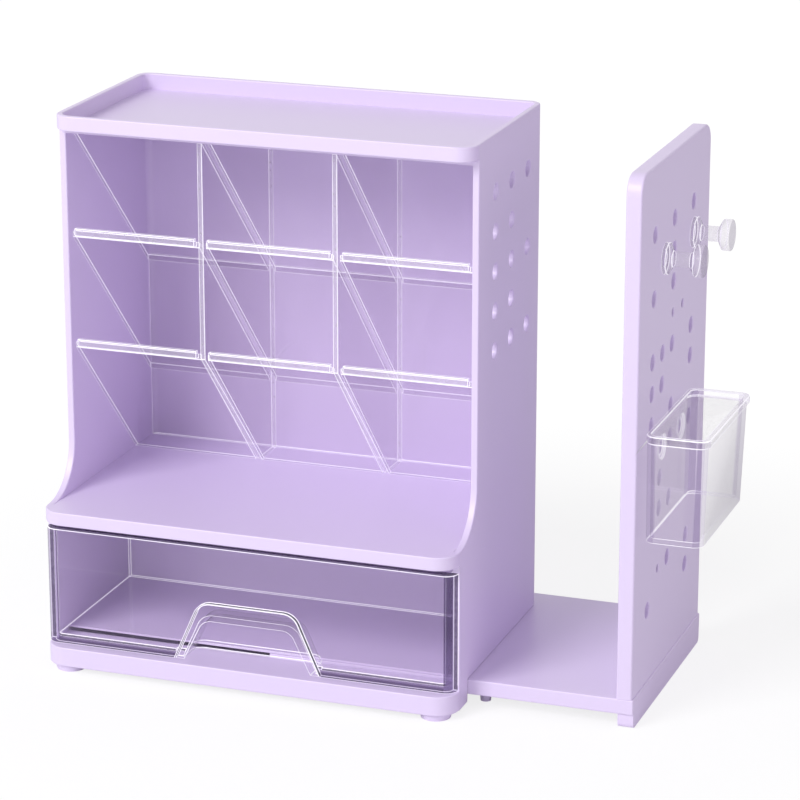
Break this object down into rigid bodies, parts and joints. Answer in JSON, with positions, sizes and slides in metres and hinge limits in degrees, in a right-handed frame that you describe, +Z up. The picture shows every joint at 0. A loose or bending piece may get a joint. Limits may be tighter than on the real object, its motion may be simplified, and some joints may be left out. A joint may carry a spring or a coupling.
{
  "type": "pegboard desk organizer with drawer",
  "caption": "Upright desk organizer with a top tray, sloping clear cells, a shelf, a clear drawer, a perforated side and a slide-out pegboard wing with pegs and a hanging bin.",
  "frame": {"origin": "on the desk, at the middle of the whole object's footprint with the wing pulled out", "axes": "+Z up, the front faces -Y, the wing slides out along +X"},
  "size_m": [0.383, 0.173, 0.322],
  "materials": {
    "shell_plastic": "satin moulded plastic, lavender",
    "clear_sheet": "polished clear sheet plastic",
    "clear_moulding": "clear moulded plastic, faint smoky tint at the edges",
    "foot_plastic": "satin moulded plastic, lavender",
    "screw_steel": "zinc-plated screws"
  },
  "bodies": {
    "cabinet": {"left_side_panel": "shell_plastic", "right_side_panel": "shell_plastic", "back_panel": "shell_plastic", "top_tray": "shell_plastic", "shelf_panel": "shell_plastic", "base_panel": "shell_plastic", "drawer_deck": "shell_plastic", "drawer_bay_back": "shell_plastic", "cabinet_feet": "foot_plastic", "back_panel_screws": "screw_steel", "clear_back_plate": "clear_sheet", "divider_left": "clear_sheet", "divider_right": "clear_sheet", "cell_plate_top_left": "clear_sheet", "cell_plate_top_middle": "clear_sheet", "cell_plate_top_right": "clear_sheet", "cell_plate_middle_left": "clear_sheet", "cell_plate_middle_middle": "clear_sheet", "cell_plate_middle_right": "clear_sheet", "cell_plate_bottom_left": "clear_sheet", "cell_plate_bottom_middle": "clear_sheet", "cell_plate_bottom_right": "clear_sheet"},
    "drawer": {"drawer_box": "clear_moulding", "drawer_front": "clear_moulding", "drawer_pull": "clear_moulding"},
    "wing": {"wing_base_plate": "shell_plastic", "wing_upright_panel": "shell_plastic", "wing_foot": "foot_plastic", "wing_stop_pin": "foot_plastic", "wing_screws": "screw_steel"},
    "peg_upper": {"peg_upper": "clear_moulding"},
    "peg_lower": {"peg_lower": "clear_moulding"},
    "accessory_box": {"accessory_box": "clear_moulding"}
  },
  "joints": [
    {"name": "drawer_slide", "type": "slide", "parent": "cabinet", "child": "drawer", "axis": [0, -1, 0], "range_m": [0, 0.095]},
    {"name": "wing_slide", "type": "slide", "parent": "cabinet", "child": "wing", "axis": [1, 0, 0], "range_m": [-0.085, 0]},
    {"name": "peg_upper_pull", "type": "slide", "parent": "wing", "child": "peg_upper", "axis": [1, 0, 0], "range_m": [0, 0.02]},
    {"name": "peg_lower_pull", "type": "slide", "parent": "wing", "child": "peg_lower", "axis": [1, 0, 0], "range_m": [0, 0.02]},
    {"name": "box_pull", "type": "slide", "parent": "wing", "child": "accessory_box", "axis": [1, 0, 0], "range_m": [0, 0.02]}
  ]
}
